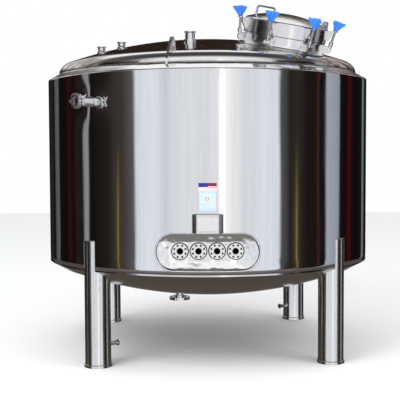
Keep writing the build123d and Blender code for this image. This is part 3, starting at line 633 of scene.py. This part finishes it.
def pressed_panel():
    rows = []
    # (inset from the 638 x 225 mouth, depth behind the shell's surface) down to the taper, then by fixed depth
    rows.append((-0.0060, "c", -0.0004))
    rows.append((-0.0035, "c", -0.0008))
    for k in range(7):
        an = math.pi / 2 * k / 6
        rows.append((-0.0025 + 0.0055 * math.sin(an) - 0.0005, "c", -0.0008 + 0.0055 * (1 - math.cos(an))))
    for f in (0.3, 0.6, 0.9):
        rows.append((0.0026, "f", f))
    # taper profile in (inset 0..1 of 89 x 56.5, y): rounded at both ends
    prof = [(0.000, 1.1010), (0.010, 1.0985), (0.040, 1.0962), (0.10, 1.0941), (0.20, 1.0917), (0.32, 1.0891), (0.45, 1.0863), (0.58, 1.0835),
            (0.70, 1.0810), (0.80, 1.0789), (0.88, 1.0775), (0.94, 1.0766), (1.0, 1.07615)]
    verts, faces = [], []
    n = None
    for kind_row in rows:
        inset, kind, dpt = kind_row
        P = obround(0.638 - 2 * inset, 0.225 - 2 * inset)
        n = len(P)
        for x, z in P:
            yc = math.sqrt(R_CLAD ** 2 - x * x)
            y = yc - dpt if kind == "c" else (yc - 0.0047) * (1 - dpt) + 1.1030 * dpt
            verts.append((x, -y, REC_Z + z))
    for f, y in prof:
        iw, ih = 0.0028 + f * 0.0862, 0.0028 + f * 0.0537
        P = obround(0.638 - 2 * iw, 0.225 - 2 * ih)
        for x, z in P:
            verts.append((x, -y, REC_Z + z))
    m_ = len(rows) + len(prof)
    for i in range(m_ - 1):
        for k in range(n):
            k2 = (k + 1) % n
            faces.append((i * n + k, i * n + k2, (i + 1) * n + k2, (i + 1) * n + k))
    me = bpy.data.meshes.new("pressed_panel")
    me.from_pydata(verts, [], faces)
    bm = bmesh.new()
    bm.from_mesh(me)
    bm.verts.ensure_lookup_table()
    inner = [bm.verts[(m_ - 1) * n + k] for k in range(n)]
    edges = [bm.edges.get((inner[k], inner[(k + 1) % n])) for k in range(n)]
    for px in PORT_X:
        ring_ = [bm.verts.new((px + 0.0251 * math.cos(2 * math.pi * k / 40), -1.07615, PORT_Z + 0.0251 * math.sin(2 * math.pi * k / 40))) for k in range(40)]
        edges += [bm.edges.new((ring_[k], ring_[(k + 1) % 40])) for k in range(40)]
    bmesh.ops.triangle_fill(bm, edges=edges, use_beauty=True)
    bmesh.ops.recalc_face_normals(bm, faces=bm.faces)
    c0 = [f for f in bm.faces if abs(f.calc_center_median().y + 1.07615) < 1e-4]
    if c0 and c0[0].normal.y > 0:
        bmesh.ops.reverse_faces(bm, faces=bm.faces)
    bm.to_mesh(me)
    bm.free()
    o = link_obj("pressed_panel", me, M_RECESS)
    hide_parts("port_recess")
    return o


pressed_panel()

# flange sealing rings round the four ports
def lathe(name, prof, mat, m, body="tank", n=96, closed=True):
    """Turn (radius, height) points about local z, then place with the matrix m."""
    verts, faces = [], []
    k = len(prof)
    for i in range(n):
        an = 2 * math.pi * i / n
        for r, z in prof:
            verts.append((r * math.cos(an), r * math.sin(an), z))
    for i in range(n):
        i2 = (i + 1) % n
        for j in range(k if closed else k - 1):
            j2 = (j + 1) % k
            faces.append((i * k + j, i2 * k + j, i2 * k + j2, i * k + j2))
    me = bpy.data.meshes.new(name)
    me.from_pydata(verts, [], faces)
    bm = bmesh.new()
    bm.from_mesh(me)
    bmesh.ops.recalc_face_normals(bm, faces=bm.faces)
    bm.to_mesh(me)
    bm.free()
    return link_obj(name, me, mat, body, True, m)


def ring_prof(r0, r1, z0, z1, q=6):
    """Rounded-section ring."""
    pts = []
    rr = min(r1 - r0, z1 - z0) * 0.42
    for cx, cz, a0 in ((r1 - rr, z1 - rr, 0), (r0 + rr, z1 - rr, 90), (r0 + rr, z0 + rr, 180), (r1 - rr, z0 + rr, 270)):
        for k in range(q + 1):
            an = math.radians(a0 + 90 * k / q)
            pts.append((cx + rr * math.cos(an), cz + rr * math.sin(an)))
    return pts


FACE_FRONT = Matrix.Rotation(math.radians(90), 4, "X")      # local z -> -y
for i, px in enumerate(PORT_X):
    mm = Matrix.Translation((px, -REC_YF, PORT_Z)) @ FACE_FRONT
    o = lathe("port_seal_%d" % (i + 1), ring_prof(0.0488, 0.0530, 0.0000, 0.0032), M_RUBBER, mm)
    o = lathe("port_bead_%d" % (i + 1), ring_prof(0.0530, 0.0556, -0.0002, 0.0016), M_WELD, mm)
    o = lathe("port_oring_%d" % (i + 1), ring_prof(0.0170, 0.0205, 0.0086, 0.0102), M_RUBBER, mm)


# ------------------------------------------------------------------ weld beads
def on_shell(x_or_az, z, r=R_CLAD):
    return at_az(x_or_az, r, z)


for k, az0 in LEG_AZ.items():
    c0 = at_az(az0, LEG_PCR)
    a0 = math.radians(az0)
    rd, tg = Vector((math.sin(a0), -math.cos(a0), 0)), Vector((math.cos(a0), math.sin(a0), 0))
    lim = math.atan2(0.0511, 1.14186 - LEG_PCR)
    path = []
    for q in range(16):
        path.append(rd * 1.14186 + tg * -0.0511 + Vector((0, 0, 0.640 + (LEG_TOP - 0.640) * q / 16)))
    bead("leg_%s_weld_a" % k, path, 0.0016, closed=False)
    bead("leg_%s_weld_b" % k, [p + tg * 0.1022 for p in path], 0.0016, closed=False)
    arc = [c0 + rd * ((LEG_R - 0.0006) * math.cos(-lim + 2 * lim * q / 40)) + tg * ((LEG_R - 0.0006) * math.sin(-lim + 2 * lim * q / 40)) + Vector((0, 0, LEG_TOP - 0.0008)) for q in range(41)]
    bead("leg_%s_cap_weld" % k, arc, 0.0016, closed=False)
    chord = [on_shell(az0 + math.degrees(math.asin(0.0511 / R_CLAD)) * (-1 + 2 * q / 20), LEG_TOP) for q in range(21)]
    bead("leg_%s_top_weld" % k, chord, 0.0018, closed=False)
    bead("leg_%s_foot_weld" % k, circle(c0 + Vector((0, 0, 0.0185)), (0, 0, 1), LEG_R + 0.001), 0.0018)
bead("head_weld", circle((0, 0, Z_TOP + 0.0012), (0, 0, 1), R_VES + 0.0012, 360), 0.0020)
P = obround(0.638 + 0.011, 0.225 + 0.011)
bead("recess_weld", [(x, -math.sqrt((R_CLAD + 0.0002) ** 2 - x * x), REC_Z + z) for x, z in P], 0.0012)
for i, (fx, fy, fr, fh) in enumerate(FERR):
    rr = fr + 0.0052
    pts = []
    for q in range(60):
        an = 2 * math.pi * q / 60
        x, y = fx + rr * math.cos(an), fy + rr * math.sin(an)
        pts.append((x, y, crown_z(math.hypot(x, y)) + 0.0006))
    if i < 2:
        bead("stub_weld_%d" % (i + 1), pts, 0.0019)
rr = NOZ_R + 0.0006
nd, nt_ = at_az(NOZ_AZ, 1.0), Vector((math.cos(math.radians(NOZ_AZ)), math.sin(math.radians(NOZ_AZ)), 0))
pts = []
for q in range(60):
    an = 2 * math.pi * q / 60
    tt = rr * math.cos(an)
    pts.append(nd * (math.sqrt(R_CLAD ** 2 - tt * tt) + 0.0008) + nt_ * tt + Vector((0, 0, NOZ_Z + rr * math.sin(an))))
bead("nozzle_weld", pts, 0.0026)
for sx_ in (-1, 1):
    bead("bracket_weld_%s" % ("l" if sx_ < 0 else "r"), [(sx_ * 0.0938, -math.sqrt(R_CLAD ** 2 - 0.0938 ** 2) - 0.0004, 0.892 + 0.110 * q / 12) for q in range(13)], 0.0013, closed=False)
for i, az0 in enumerate((-13.0, 167.0)):
    a0 = math.radians(az0)
    rd, tg = Vector((math.sin(a0), -math.cos(a0), 0)), Vector((math.cos(a0), math.sin(a0), 0))
    for sg in (-1, 1):
        pts = []
        for q in range(24):
            rho = 0.912 + (0.994 - 0.912) * q / 23
            pts.append(rd * rho + tg * (sg * 0.0080) + Vector((0, 0, crown_z(rho) + 0.0006)))
        bead("lug_weld_%d%s" % (i + 1, "a" if sg < 0 else "b"), pts, 0.0022, closed=False)
for i, h0 in enumerate((0.0205,)):
    bead("foot_collar_weld", circle((-0.209, 0, 0.3305), (0, 0, 1), 0.0262), 0.0014)
bead("shell_seam", [on_shell(158.0, 0.668 + (1.872 - 0.668) * q / 60, R_CLAD - 0.0006) for q in range(61)], 0.0014, closed=False, ripple=0.05)

# drawn collar where the manway neck leaves the head
prof = []
for q in range(15):
    an = math.pi / 2 * q / 14
    r_ = 0.2592 + 0.034 * (1 - math.sin(an))
    prof.append((r_, -r_ * r_ / (2 * R_CR) + 0.0010 + 0.030 * (1 - math.cos(an))))
prof += [(0.2588, 0.024), (0.2588, -0.016), (0.288, -0.016)]
o = lathe("manway_collar", prof, M_COVER, MWM, n=180)
W2 = bead("collar_weld", [MWM @ Vector((0.2940 * math.cos(2 * math.pi * q / 200), 0.2940 * math.sin(2 * math.pi * q / 200), -0.2940 ** 2 / (2 * R_CR) + 0.0005)) for q in range(200)], 0.0016)

# ------------------------------------------------------------------ floor
bm = bmesh.new()
bmesh.ops.create_grid(bm, x_segments=40, y_segments=40, size=14)
me = bpy.data.meshes.new("floor")
bm.to_mesh(me)
bm.free()
floor = bpy.data.objects.new("floor", me)
bpy.context.collection.objects.link(floor)
floor.location = (0, 0, -0.0006)
M_FLOOR, gg, b, co = new_mat("floor_paper")
fn = noise(gg, co, (6, 6, 6), 1.0, 4.0)
gg.link(gg.mix(fn, (.90, .90, .90, 1), (.93, .93, .93, 1)), b.inputs["Base Color"])
b.inputs["Roughness"].default_value = 0.8
me.materials.append(M_FLOOR)
floor.visible_glossy = False
floor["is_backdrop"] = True

VIS_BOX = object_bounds()


def plain(v):
    try:
        return [plain(x) for x in v]
    except TypeError:
        return round(float(v), 5)


{"cad": plain(CAD_BOX), "visual": plain(VIS_BOX)}
